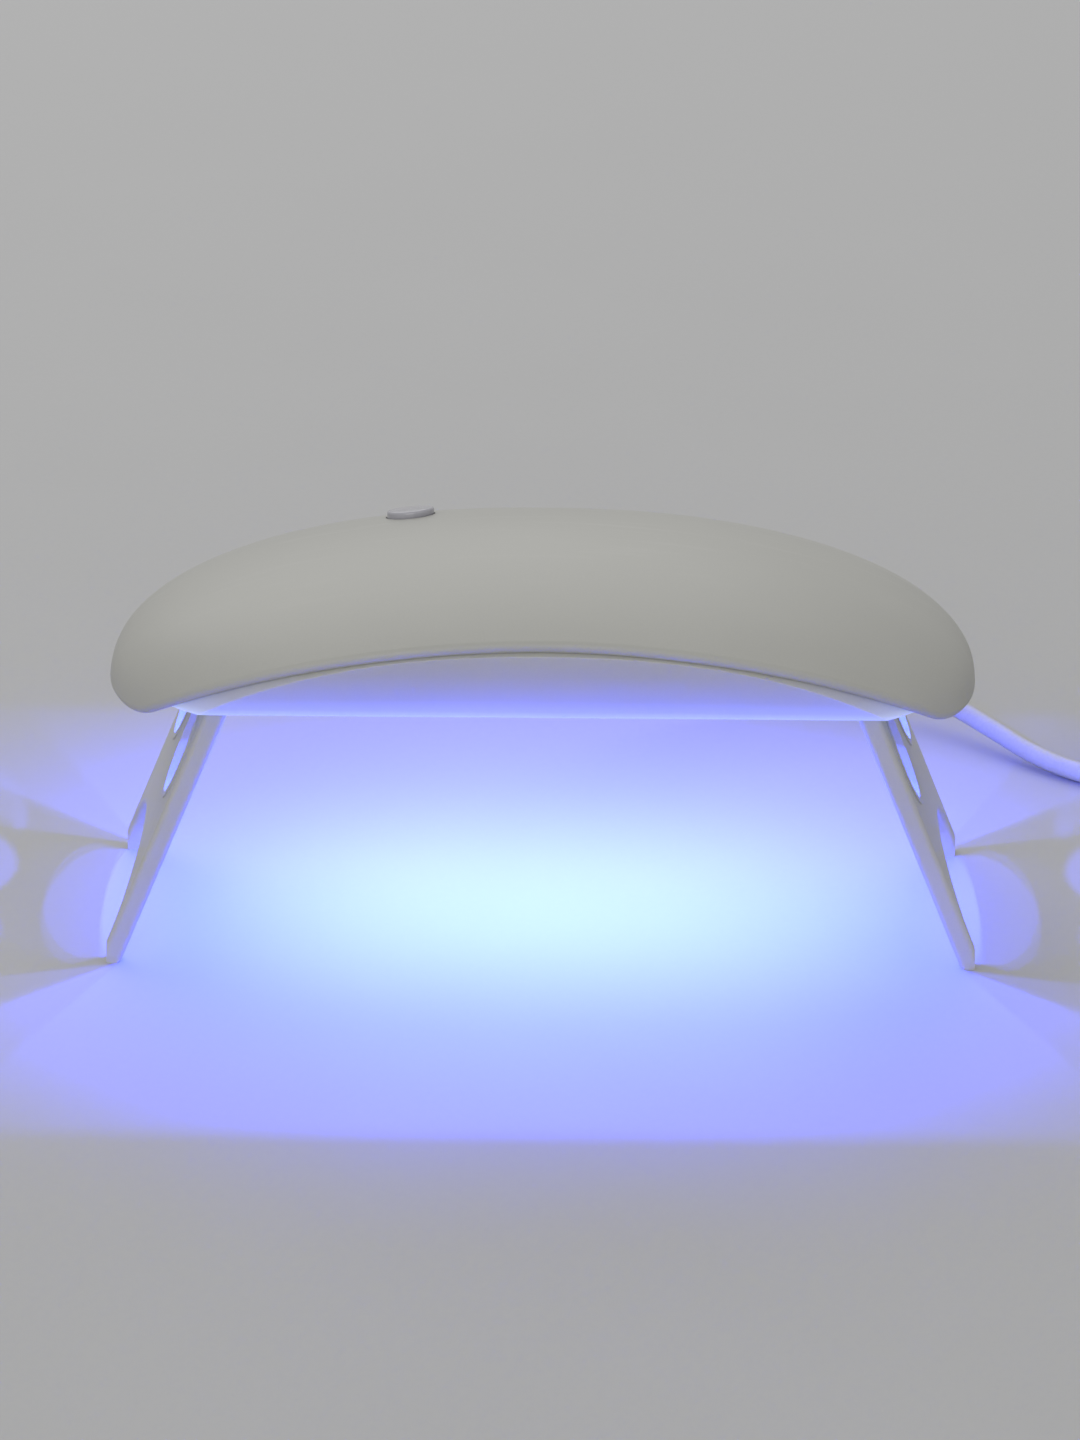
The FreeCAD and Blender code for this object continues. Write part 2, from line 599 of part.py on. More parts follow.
board("control_board", "control_length", "control_depth", "control_z")
link = centred("board_link", ("0", "-board_screw_y"), "light_board_top",
               ("link_length", "link_width", "board_spacing"))
piece(link, "board_link")
tubes = []
for x, y in corners("board_screw_x", "board_screw_y"):
    outer = rod("spacer_outer", (x, y, "light_board_top"), "spacer_diameter", "board_spacing")
    bore = rod("spacer_bore", (x, y, "light_board_top"), "board_screw", "board_spacing")
    tubes.append(less("spacer", outer, bore))
spacers = doc.addObject("Part::Compound", "board_spacers")
spacers.Links = tubes
piece(spacers, "board_spacers")
screws("board_screws", corners("board_screw_x", "board_screw_y"), "light_board_z - board_screw_head_height",
       "board_screw_head", "board_screw_head_height", "board_screw", "control_top + board_screw_grip")
screws("cover_screws", corners("screw_x", "screw_y"), "roof + seat_gap", "screw_head",
       "screw_head_height", "screw_diameter", "boss_top + screw_grip")

for label, x, y, span in (
    ("driver_chip", "4", "-1", ("chip_length", "chip_width", "chip_height")),
    ("timer_chip", "14", "4", ("chip_width", "chip_width", "chip_height * 0.7")),
    ("indicator_lamp", "button_x - switch_side / 2 - lamp_side", "button_y",
     ("lamp_side", "lamp_side", "lamp_height")),
):
    piece(centred(label, (x, y), "control_top", span), label)
piece(rod("choke", ("14", "-4.5", "control_top"), "chip_length", "chip_height"), "choke")

case = centred("switch_case", ("button_x", "button_y"), "control_top",
               ("switch_side", "switch_side", "switch_height"))
well = rod("switch_well", ("button_x", "button_y", "control_top + switch_base"),
           "plunger_diameter + 2 * plunger_play", "switch_height")
piece(less("tact_switch", case, well), "tact_switch")
plunger_low = "switch_top - (switch_height - switch_base - button_travel) * 0.9"
piece(rod("switch_plunger", ("button_x", "button_y", plunger_low), "plunger_diameter",
          f"(plunger_top) - ({plunger_low})"), "switch_plunger")


def button_shape():
    """Round key whose top follows the dome, a flange that the cover traps, and a short stem."""
    x, y = value("button_x"), value("button_y")
    reach = value("button_diameter / 2 + button_flange")
    turns = [math.radians(step) for step in range(0, 360, 15)]
    lowest = min(dome_height(x + reach * math.cos(turn), y + reach * math.sin(turn), value("cover_wall"))
                 for turn in turns)
    shoulder = lowest - value("seat_gap")
    under = shoulder - value("flange_height")
    crown = value("dome_base + dome_rise + button_proud")
    key = upright("button_diameter", x, y, under, crown).common(dome(-value("button_proud")))
    rim = [e for e in key.Edges if e.BoundBox.ZMin > shoulder]
    key = key.makeFillet(value("button_round"), [e for e in rim if e.BoundBox.XLength > value("button_diameter / 2")])
    flange = upright("button_diameter + 2 * button_flange", x, y, under, shoulder)
    stem = upright("plunger_diameter", x, y, value("plunger_top"), under)
    return key.fuse(flange).fuse(stem).removeSplitter()


own_shape("timer_button", button_shape())

# ---------------------------------------------------------------- supply socket, plug and lead

def tube(points, diameter):
    """Round tube along straight runs joined by tangent arcs, and its tightest radius."""
    spots = [Vector(*p) for p in points]
    edges, start, tightest = [], spots[0], math.inf
    for before, corner, after in zip(spots, spots[1:], spots[2:]):
        towards, away = (before - corner), (after - corner)
        shorter = min(towards.Length, away.Length)
        turn = math.pi - towards.getAngle(away)
        tightest = min(tightest, ARC_SHARE * shorter / math.tan(turn / 2))
        towards, away = towards.normalize(), away.normalize()
        first, last = corner + towards * ARC_SHARE * shorter, corner + away * ARC_SHARE * shorter
        inward = (towards + away).normalize()
        radius = ARC_SHARE * shorter / math.tan(turn / 2)
        middle = corner + inward * (radius / math.cos(turn / 2) - radius)
        edges += [Part.LineSegment(start, first).toShape(), Part.Arc(first, middle, last).toShape()]
        start = last
    edges.append(Part.LineSegment(start, spots[-1]).toShape())
    path = Part.Wire(edges)
    ring = Part.Wire([Part.makeCircle(diameter / 2, spots[0], spots[1] - spots[0])])
    solid = path.makePipeShell([ring], True, False)
    expected = math.pi * diameter ** 2 / 4 * path.Length
    print(f"tube {path.Length:.1f} mm, tightest {tightest:.1f} mm, volume {solid.Volume / expected:.4f}")
    return solid


def relief_shape():
    """Tapered sleeve behind the plug, drooping in a round bend under the lead's weight."""
    droop, length = math.radians(value("relief_droop")), value("relief_length")
    radius = length / droop
    rings = []
    for step in range(RELIEF_RINGS):
        share = step / (RELIEF_RINGS - 1)
        turn = droop * share
        middle = Vector(0, value("plug_end") + radius * math.sin(turn),
                        value("port_height") - radius * (1 - math.cos(turn)))
        diameter = value("relief_diameter") * (1 - share) + value("relief_tip") * share
        rings.append(Part.Wire([Part.makeCircle(diameter / 2, middle, Vector(0, math.cos(turn), -math.sin(turn)))]))
    return Part.makeLoft(rings, True, False)


def grip(label, width, height, length, rounding, at):
    """Moulded grip with rounded edges, along Y from the point given."""
    body = doc.addObject("PartDesign::Body", label)
    outline = sketch_on(body, "XZ_Plane", f"{label}_outline")
    half_x, half_z = value(f"{width} / 2"), value(f"{height} / 2")
    add_outline(outline, [(-half_x, -half_z), (half_x, -half_z), (half_x, half_z), (-half_x, half_z)])
    pad = feature(body, "Pad", outline, length)
    doc.recompute()
    front = -value(f"{length} / 2")
    edges = [f"Edge{number}" for number, edge in enumerate(pad.Shape.Edges, start=1)
             if edge.BoundBox.YMax > front + 0.01]
    rounded = body.newObject("PartDesign::Fillet", f"{label}_rounding")
    rounded.Base = (pad, edges)
    rounded.setExpression("Radius", formula(rounding))
    x, y, z = (value(text) for text in at)
    body.Placement = Placement(Vector(x, y - front, z), Rotation())
    return piece(body, label)


def coil_shape():
    outer, inner = value("coil_radius + coil_width / 2"), value("coil_radius - coil_width / 2")
    middle = Vector(value("coil_x"), value("coil_y"), 0)
    high = value("coil_height")
    ring = Part.makeCylinder(outer, high, middle).cut(Part.makeCylinder(inner, high, middle))
    rims = [e for e in ring.Edges if e.BoundBox.ZLength < 0.01]
    return ring.makeFillet(value("coil_round"), rims)


def square_tube(label, middle, low_y, span, wall, closed_back):
    """Folded metal shell open at one end; with a closed back it is a socket."""
    x, z = middle
    width, depth, height = span
    outer = block(f"{label}_outer", (f"{x} - {width} / 2", low_y, f"{z} - {height} / 2"), span)
    inner_low = f"{low_y} + {wall}" if closed_back else f"{low_y} - {wall}"
    inner_depth = depth if closed_back else f"{depth} + 2 * {wall}"
    inner = block(f"{label}_inner", (f"{x} - {width} / 2 + {wall}", inner_low, f"{z} - {height} / 2 + {wall}"),
                  (f"{width} - 2 * {wall}", inner_depth, f"{height} - 2 * {wall}"))
    return less(f"{label}_shell", outer, inner)


socket_back = "port_face - socket_inset - socket_depth"
socket_can = square_tube("socket", ("0", "port_height"), socket_back,
                         ("socket_width", "socket_depth", "socket_height"), "socket_wall", True)
tongue = block("socket_tongue", ("-tongue_width / 2", socket_back, "port_height - tongue_height / 2"),
               ("tongue_width", "socket_depth * 0.6", "tongue_height"))
piece(joined("usb_socket", [socket_can, tongue]), "usb_socket")

plug_can = square_tube("plug_shell", ("0", "port_height"), "plug_start - plug_shell_length",
                       ("plug_shell_width", "plug_shell_length", "plug_shell_height"), "plug_shell_wall", False)
piece(plug_can, "plug_shell")
grip("plug_grip", "plug_width", "plug_height", "plug_length", "plug_round", ("0", "plug_start", "port_height"))
own_shape("strain_relief", relief_shape())

wires = []
for side in (-1, 1):
    x = side * value("wire_diameter")
    tail_y = value(socket_back) + value("wire_diameter")
    rise = value("control_top + wire_diameter")
    edge_y = value("control_depth / 2")
    route = [(x, tail_y, value("port_height + socket_height / 2")), (x, tail_y, rise - 3),
             (x, edge_y + 4, rise), (x, edge_y - 2, rise - value("wire_diameter / 2"))]
    wires.append(tube(route, value("wire_diameter")))
own_shape("supply_wires", Part.makeCompound(wires))

own_shape("cable", tube(LEAD_ROUTE, value("cable_diameter")))
own_shape("cable_coil", coil_shape())
own_shape("cable_tail", tube(TAIL_ROUTE, value("cable_diameter")))

axis_z = "usb_grip_height / 2"
sleeve = doc.addObject("Part::Cone", "usb_relief")
bind(sleeve, {"Radius1": "relief_tip / 2", "Radius2": "usb_relief_diameter / 2", "Height": "usb_relief_length"})
sleeve.Placement = Placement(Vector(0, 0, 0), Rotation(Vector(1, 0, 0), -90))
piece(place(sleeve, ("usb_x", "usb_y", axis_z)), "usb_relief")
grip("usb_grip", "usb_grip_width", "usb_grip_height", "usb_grip_length", "usb_grip_round",
     ("usb_x", "usb_y + usb_relief_length", axis_z))
usb_start = "usb_y + usb_relief_length + usb_grip_length"
usb_can = square_tube("usb_shell", ("usb_x", axis_z), usb_start, ("usb_width", "usb_length", "usb_height"),
                      "usb_wall", False)
piece(usb_can, "usb_shell")
contact_low = ("usb_x - usb_width / 2 + usb_wall", usb_start,
               f"{axis_z} + usb_height / 2 - usb_wall - usb_tongue")
contact = block("usb_tongue", contact_low,
                ("usb_width - 2 * usb_wall", "usb_length - usb_wall", "usb_tongue"))
piece(contact, "usb_tongue")

# ---------------------------------------------------------------- check and write

doc.recompute()
failed = [item.Name for item in doc.Objects if {"Invalid", "Error"} & set(item.State)]
failed += [item.Label for item in pieces if item.Shape.isNull() or not item.Shape.isValid()]
if failed:
    raise SystemExit(f"failed: {failed}")
os.makedirs("parts", exist_ok=True)
for item in pieces:
    item.Shape.exportStep(f"parts/{item.Label}.step")
print(len(pieces), "pieces written")
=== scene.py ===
import math

import bpy
from mathutils import Matrix, Vector


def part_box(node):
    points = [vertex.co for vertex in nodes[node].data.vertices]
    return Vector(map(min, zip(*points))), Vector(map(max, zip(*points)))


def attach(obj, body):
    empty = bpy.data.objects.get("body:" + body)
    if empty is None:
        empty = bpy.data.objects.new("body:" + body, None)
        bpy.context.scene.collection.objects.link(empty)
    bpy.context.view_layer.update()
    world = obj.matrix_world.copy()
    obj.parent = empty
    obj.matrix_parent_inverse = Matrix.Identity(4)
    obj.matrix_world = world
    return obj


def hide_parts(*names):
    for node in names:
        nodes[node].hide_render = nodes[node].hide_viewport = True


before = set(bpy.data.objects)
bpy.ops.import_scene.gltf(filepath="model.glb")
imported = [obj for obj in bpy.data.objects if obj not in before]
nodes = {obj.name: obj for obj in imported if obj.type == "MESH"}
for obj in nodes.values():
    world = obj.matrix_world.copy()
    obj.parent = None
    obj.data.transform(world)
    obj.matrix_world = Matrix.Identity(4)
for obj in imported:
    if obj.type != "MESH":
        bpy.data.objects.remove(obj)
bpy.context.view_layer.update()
bpy.context.scene.view_settings.view_transform = "Standard"

# ------------------------------------------------------------------ camera
# A long lens in front of the lamp, a little above it and pitched down, so that the arch of the
# lip, the pool of light between the legs and the round crown are all in view.
MM = 0.001
CAMERA_PITCH = math.radians(20.5)
CAMERA_ROLL = math.radians(0.47)
CAMERA_DISTANCE = 892 * MM
LOOK_AT = Vector((-0.4 * MM, 0.0, 31.3 * MM))
SENSOR_MM = 36.0
FOCAL_MM = 142.5

bpy.ops.object.camera_add()
camera = bpy.context.object
camera.name = "camera"
camera.data.sensor_fit = "VERTICAL"
camera.data.sensor_height = SENSOR_MM
camera.data.lens = FOCAL_MM
away = Vector((0.0, -math.cos(CAMERA_PITCH), math.sin(CAMERA_PITCH)))
camera.location = LOOK_AT + away * CAMERA_DISTANCE
camera.rotation_euler = (away.to_track_quat("Z", "Y").to_matrix()
                         @ Matrix.Rotation(CAMERA_ROLL, 3, "Z")).to_euler()
bpy.context.scene.camera = camera

# ------------------------------------------------------------------ supply lead
# A round two-core lead in soft white PVC, pushed on at the back. It droops to the table, lies in
# one loose bend, and its spare length is wound in a neat coil of seven turns beside the plug.
LEAD_DIAMETER = 3.3 * MM
LEAD_ROUTE_MM = [
    (0, 51.95, 42.64), (0, 59.83, 36.48), (3.5, 70, 28.7), (14, 82, 20.5), (30, 91, 14.3),
    (48, 92, 10), (64.5, 85, 6.6), (75.5, 72.5, 4), (84.5, 60.5, 1.9), (96, 51.5, 1.65),
]
TAIL_ROUTE_MM = [
    (121.7, 44.9, 8.25), (130, 46.3, 5.8), (137.8, 50.3, 3), (143.8, 57.5, 2.1),
    (146.8, 65.8, 3.1), (147, 74, 4),
]
COIL_MIDDLE_MM = (118, 66)
COIL_TURNS_MM = [(21.8, 1.65), (18.35, 1.65), (14.9, 1.65), (14.9, 4.95),
                 (18.35, 4.95), (21.8, 4.95), (21.8, 8.25)]
COIL_ENTRY = math.radians(-110)
POINTS_PER_TURN = 16
STEP_OVER = 0.18
NOISE_DETAIL = 3
GRAIN_SHARE = 0.4
TONE_PLACES = (0.35, 0.65)
GLOSS_PLACES = (0.3, 0.7)


def coil_points():
    """Turns side by side and layer on layer; each steps over to the next near its end."""
    points = []
    for turn, (radius, height) in enumerate(COIL_TURNS_MM):
        after = COIL_TURNS_MM[min(turn + 1, len(COIL_TURNS_MM) - 1)]
        for step in range(POINTS_PER_TURN):
            share = step / POINTS_PER_TURN
            mix = max(0.0, (share - 1 + STEP_OVER) / STEP_OVER)
            reach = radius + (after[0] - radius) * mix
            angle = COIL_ENTRY + 2 * math.pi * share
            points.append((COIL_MIDDLE_MM[0] + reach * math.cos(angle),
                           COIL_MIDDLE_MM[1] + reach * math.sin(angle),
                           height + (after[1] - height) * mix))
    return points


def add_node(tree, kind, links=(), **values):
    """New shader node: settings by name, socket values by their title, and what feeds it."""
    node = tree.nodes.new("ShaderNode" + kind)
    for name, value in values.items():
        if hasattr(node, name):
            setattr(node, name, value)
        else:
            node.inputs[name.replace("_", " ")].default_value = value
    for source, socket in links:
        tree.links.new(source, node.inputs[socket])
    return node


def tone_ramp(tree, source, stops):
    """Colour ramp through (place, colour) stops."""
    ramp = add_node(tree, "ValToRGB", [(source, "Fac")])
    marks = ramp.color_ramp.elements
    while len(marks) < len(stops):
        marks.new(0.5)
    for mark, (spot, colour) in zip(marks, stops):
        mark.position = spot
        mark.color = (*colour, 1)
    return ramp.outputs["Color"]


def finish(name, dark, light, grain_mm, relief_mm, gloss, drift_mm=18, metallic=0.0):
    """Surface whose tone drifts, with a fine relief, and a gloss that is not quite even."""
    material = bpy.data.materials.new(name)
    material.use_nodes = True
    tree = material.node_tree
    shader = tree.nodes["Principled BSDF"]
    place = add_node(tree, "TexCoord").outputs["Object"]
    drift, grain = (add_node(tree, "TexNoise", [(place, "Vector")], Scale=1 / (size * MM),
                             Detail=NOISE_DETAIL).outputs["Fac"]
                    for size in (drift_mm, grain_mm))
    blend = add_node(tree, "Mix", [(drift, 2), (grain, 3)], Factor=GRAIN_SHARE)
    tones = tone_ramp(tree, blend.outputs[0], list(zip(TONE_PLACES, (dark, light))))
    tree.links.new(tones, shader.inputs["Base Color"])
    rough = add_node(tree, "MapRange", [(drift, "Value")],
                     From_Min=GLOSS_PLACES[0], From_Max=GLOSS_PLACES[1],
                     To_Min=gloss[0], To_Max=gloss[1])
    tree.links.new(rough.outputs["Result"], shader.inputs["Roughness"])
    bump = add_node(tree, "Bump", [(grain, "Height")], Distance=relief_mm * MM)
    tree.links.new(bump.outputs["Normal"], shader.inputs["Normal"])
    shader.inputs["Metallic"].default_value = metallic
    return material


def tune(material, **values):
    """Sets inputs of the material's main shader by their title."""
    shader = material.node_tree.nodes["Principled BSDF"]
    for name, value in values.items():
        shader.inputs[name.replace("_", " ")].default_value = value


def dress(material, *names):
    """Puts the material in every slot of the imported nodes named."""
    for name in names:
        for place in nodes[name].material_slots:
            place.material = material


lead_pvc = finish("lead_pvc", (0.43, 0.43, 0.41), (0.50, 0.50, 0.48), 0.5, 0.012, (0.38, 0.5))
route = LEAD_ROUTE_MM + coil_points() + TAIL_ROUTE_MM
line = bpy.data.curves.new("supply_lead", "CURVE")
line.dimensions = "3D"
line.bevel_depth = LEAD_DIAMETER / 2
line.bevel_resolution = 6
line.use_fill_caps = True
spline = line.splines.new("NURBS")
spline.points.add(len(route) - 1)
for point, spot in zip(spline.points, route):
    point.co = (*[value * MM for value in spot], 1.0)
spline.order_u = 3
spline.use_endpoint_u = True
spline.resolution_u = 6
line.materials.append(lead_pvc)
supply_lead = bpy.data.objects.new("supply_lead", line)
bpy.context.scene.collection.objects.link(supply_lead)
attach(supply_lead, "lamp")
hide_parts("cable", "cable_coil", "cable_tail")

# ------------------------------------------------------------------ plug grips
# Two overmoulded PVC grips, one pushed into the back of the lamp and one behind the USB-A shell.
# Each is a block with soft long edges and a row of shallow thumb grooves across both sides.
GROOVE_DEPTH = 0.28 * MM
GROOVE_LAND = 0.55
GROOVED_SHARE = 0.6
GROOVE_MARGIN = 0.12 * MM
GROOVE_ROUNDING = 0.08 * MM
SMOOTH_UNDER = math.radians(30)
grip_pvc = finish("grip_pvc", (0.44, 0.44, 0.42), (0.51, 0.51, 0.49), 0.35, 0.015, (0.42, 0.55))


def add_block(name, low, high):
    """Block between two corners, its place in its mesh, all of it selected for editing."""
    bpy.ops.object.select_all(action="DESELECT")
    bpy.ops.mesh.primitive_cube_add(
        size=1, location=[(a + b) / 2 for a, b in zip(low, high)],
        scale=[b - a for a, b in zip(low, high)])
    block = bpy.context.object
    block.name = name
    bpy.ops.object.transform_apply(location=True, rotation=True, scale=True)
    return block


def pick_faces(block, wanted):
    """Selects only the faces whose middle and normal pass; leaves the block in edit mode."""
    bpy.ops.object.mode_set(mode="EDIT")
    bpy.ops.mesh.select_mode(type="FACE")
    bpy.ops.mesh.select_all(action="DESELECT")
    bpy.ops.object.mode_set(mode="OBJECT")
    for face in block.data.polygons:
        face.select = wanted(face.center, face.normal)
    bpy.ops.object.mode_set(mode="EDIT")


def slice_across(axis, spots):
    """Cuts the mesh in edit mode into bands at the places given along one axis."""
    for spot in spots:
        bpy.ops.mesh.select_all(action="SELECT")
        at = [0.0, 0.0, 0.0]
        normal = [0.0, 0.0, 0.0]
        at[axis], normal[axis] = spot, 1.0
        bpy.ops.mesh.bisect(plane_co=at, plane_no=normal)


def soften(block, width, segments, angle=40):
    """Bevel on all sharp edges, then smooth shading under the same angle."""
    bevel = block.modifiers.new("edges", "BEVEL")
    bevel.width = width
    bevel.segments = segments
    bevel.limit_method = "ANGLE"
    bevel.angle_limit = math.radians(angle)
    bpy.context.view_layer.objects.active = block
    bpy.ops.object.modifier_apply(modifier=bevel.name)
    bpy.ops.object.select_all(action="DESELECT")
    block.select_set(True)
    bpy.ops.object.shade_smooth_by_angle(angle=SMOOTH_UNDER)


def moulded_grip(name, node, rounding, grooves):
    """Rounded block with a row of shallow grooves pressed into its upper and lower face."""
    low, high = (Vector(corner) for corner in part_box(node))
    block = add_block(name, low, high)
    soften(block, rounding, 6)
    pitch = (high.y - low.y) * GROOVED_SHARE / grooves
    start = (low.y + high.y) / 2 - pitch * grooves / 2
    starts = [start + pitch * number for number in range(grooves)]
    bpy.ops.object.mode_set(mode="EDIT")
    slice_across(1, [spot for first in starts for spot in (first, first + pitch * GROOVE_LAND)])
    pick_faces(block, lambda middle, normal: abs(normal.z) > 0.99
               and any(first < middle.y < first + pitch * GROOVE_LAND for first in starts))
    bpy.ops.mesh.inset(thickness=GROOVE_MARGIN, depth=-GROOVE_DEPTH)
    bpy.ops.object.mode_set(mode="OBJECT")
    soften(block, GROOVE_ROUNDING, 2)
    block.data.materials.append(grip_pvc)
    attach(block, "lamp")
    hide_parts(node)
    return block


lamp_grip = moulded_grip("lamp_plug_grip", "plug_grip", 1.75 * MM, 5)
table_grip = moulded_grip("table_plug_grip", "usb_grip", 2.3 * MM, 8)

# ------------------------------------------------------------------ strain reliefs
# Soft PVC sleeves moulded with the grips, which taper and are ringed so that they bend evenly.
# The one at the lamp droops with the lead's weight; the one at the USB-A plug is short.
RIB_HEIGHT = 0.22 * MM
POINTS_PER_RIB = 6


def ringed_sleeve(name, node, middles, start_radius, end_radius, ribs):
    """Sleeve along a line of points, as a bevelled curve whose radius rises at each rib."""
    curve = bpy.data.curves.new(name, "CURVE")
    curve.dimensions = "3D"
    curve.bevel_depth = 1.0
    curve.bevel_resolution = 7
    curve.use_fill_caps = True
    path = curve.splines.new("POLY")
    path.points.add(len(middles) - 1)
    for number, (point, middle) in enumerate(zip(path.points, middles)):
        share = number / (len(middles) - 1)
        groove = 0.5 - 0.5 * math.cos(2 * math.pi * ribs * share)
        point.co = (*middle, 1.0)
        point.radius = start_radius + (end_radius - start_radius) * share - RIB_HEIGHT * groove
    sleeve = bpy.data.objects.new(name, curve)
    bpy.context.scene.collection.objects.link(sleeve)
    bpy.ops.object.select_all(action="DESELECT")
    sleeve.select_set(True)
    bpy.context.view_layer.objects.active = sleeve
    bpy.ops.object.convert(target="MESH")
    bpy.ops.object.shade_smooth_by_angle(angle=math.radians(50))
    sleeve.data.materials.append(grip_pvc)
    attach(sleeve, "lamp")
    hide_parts(node)
    return sleeve


DROOP = math.radians(38)
DROOP_RADIUS = 10.5 * MM / DROOP
LAMP_RIBS = 6
lamp_steps = LAMP_RIBS * POINTS_PER_RIB
grip_low, grip_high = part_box("plug_grip")
grip_back = Vector((0.0, grip_high[1], (grip_low[2] + grip_high[2]) / 2))
lamp_line = []
for step in range(lamp_steps + 1):
    turn = DROOP * step / lamp_steps
    lamp_line.append(grip_back + Vector((0.0, DROOP_RADIUS * math.sin(turn),
                                         -DROOP_RADIUS * (1 - math.cos(turn)))))
lamp_relief = ringed_sleeve("lamp_strain_relief", "strain_relief", lamp_line,
                            2.4 * MM, 1.95 * MM, LAMP_RIBS)

TABLE_RIBS = 4
table_steps = TABLE_RIBS * POINTS_PER_RIB
relief_low, relief_high = (Vector(corner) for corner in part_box("usb_relief"))
relief_axis = (relief_low + relief_high) / 2
relief_run = relief_low.y - relief_high.y
table_line = [Vector((relief_axis.x, relief_high.y + relief_run * step / table_steps,
                      relief_axis.z))
              for step in range(table_steps + 1)]
table_relief = ringed_sleeve("table_strain_relief", "usb_relief", table_line,
                             2.5 * MM, 2.15 * MM, TABLE_RIBS)

# ------------------------------------------------------------------ USB-A plug shell
# Nickel-plated steel strip folded to a square tube, with two latch windows above and below.
# A thin seam runs along its underside where the folded edges meet.
SHELL_WALL = 0.4 * MM
WINDOW_MIDDLE = 2.5 * MM
WINDOW_HALF = 1.1 * MM
WINDOW_START = 5.2 * MM
SEAM_HALF = 0.06 * MM
shell_steel = finish("shell_steel", (0.48, 0.48, 0.49), (0.56, 0.56, 0.57),
                     0.6, 0.004, (0.22, 0.34), 6, 1.0)

shell_low, shell_high = (Vector(corner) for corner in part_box("usb_shell"))
shell_x = (shell_low.x + shell_high.x) / 2
table_shell = add_block("table_plug_shell", shell_low, shell_high)
bpy.ops.object.mode_set(mode="EDIT")
window_edges = [shell_x + side * WINDOW_MIDDLE + edge * WINDOW_HALF
                for side in (-1, 1) for edge in (-1, 1)]
slice_across(0, window_edges + [shell_x - SEAM_HALF, shell_x + SEAM_HALF])
slice_across(1, [shell_low.y + WINDOW_START, shell_low.y + WINDOW_START + 2 * WINDOW_HALF])


def is_opening(middle, normal):
    """The open mouth, the four latch windows and the seam."""
    across = abs(abs(middle.x - shell_x) - WINDOW_MIDDLE) < WINDOW_HALF
    along = 0 < middle.y - shell_low.y - WINDOW_START < 2 * WINDOW_HALF
    seam = normal.z < -0.9 and abs(middle.x - shell_x) < SEAM_HALF
    return normal.y > 0.9 or (abs(normal.z) > 0.9 and across and along) or seam


def thicken(block, wall):
    """Gives an open skin a wall towards its inside."""
    sheet = block.modifiers.new("wall", "SOLIDIFY")
    sheet.thickness = wall
    sheet.offset = -1
    bpy.context.view_layer.objects.active = block
    bpy.ops.object.modifier_apply(modifier=sheet.name)


pick_faces(table_shell, is_opening)
bpy.ops.mesh.delete(type="FACE")
bpy.ops.object.mode_set(mode="OBJECT")
thicken(table_shell, SHELL_WALL)
soften(table_shell, 0.1 * MM, 2, 60)
table_shell.data.materials.append(shell_steel)
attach(table_shell, "lamp")
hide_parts("usb_shell")
dress(shell_steel, "plug_shell", "usb_socket")

# ------------------------------------------------------------------ USB-A contact block
# Black moulded tongue inside the shell, with four gold-plated spring contacts on its free face.
# The two outer contacts are longer, so that the supply joins first.
CONTACT_PLACES = [(-3.5, 8.6), (-1.0, 7.6), (1.0, 7.6), (3.5, 8.6)]
CONTACT_HALF = 0.5 * MM
CONTACT_PROUD = 0.06 * MM
CONTACT_SETBACK = 0.8 * MM
tongue_black = finish("tongue_black", (0.028, 0.028, 0.030), (0.042, 0.042, 0.045),
                      0.3, 0.01, (0.4, 0.55), 4)
contact_gold = finish("contact_gold", (0.62, 0.42, 0.14), (0.72, 0.52, 0.20),
                      0.4, 0.004, (0.2, 0.32), 3, 1.0)

tongue_low, tongue_high = (Vector(corner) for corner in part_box("usb_tongue"))
contacts = []
for offset, length in CONTACT_PLACES:
    middle_x = (tongue_low.x + tongue_high.x) / 2 + offset * MM
    end_y = tongue_high.y - CONTACT_SETBACK
    strip = add_block("contact",
                      (middle_x - CONTACT_HALF, end_y - length * MM, tongue_low.z - CONTACT_PROUD),
                      (middle_x + CONTACT_HALF, end_y, tongue_low.z + CONTACT_PROUD))
    soften(strip, 0.04 * MM, 1)
    strip.data.materials.append(contact_gold)
    contacts.append(strip)
table_tongue = add_block("table_plug_tongue", tongue_low, tongue_high)
soften(table_tongue, 0.15 * MM, 2)
table_tongue.data.materials.append(tongue_black)
for strip in contacts:
    strip.select_set(True)
bpy.context.view_layer.objects.active = table_tongue
bpy.ops.object.join()
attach(table_tongue, "lamp")
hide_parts("usb_tongue")

# ------------------------------------------------------------------ coil tie
# A strap of soft white PVC drawn round the wound turns, with a small bead where its end is
# pushed through. It holds the spare length of the lead.
TIE_INNER, TIE_OUTER = 12.7 * MM, 24.0 * MM
TIE_HALF = 2.2 * MM
TIE_TOP = 10.3 * MM
TIE_STEP = 3.1 * MM
TIE_FLOOR = 0.03 * MM
TIE_BEND = 4.6 * MM
TIE_SAG = 0.4 * MM
TIE_WALL = 0.5 * MM
BEAD_HALF = 3.0 * MM
BEAD_START, BEAD_END = 2.2 * MM, 5.4 * MM
BEAD_LOW, BEAD_HIGH = 7.2 * MM, 9.6 * MM
tie_pvc = finish("tie_pvc", (0.40, 0.40, 0.39), (0.47, 0.47, 0.46), 0.4, 0.02, (0.45, 0.6), 8)

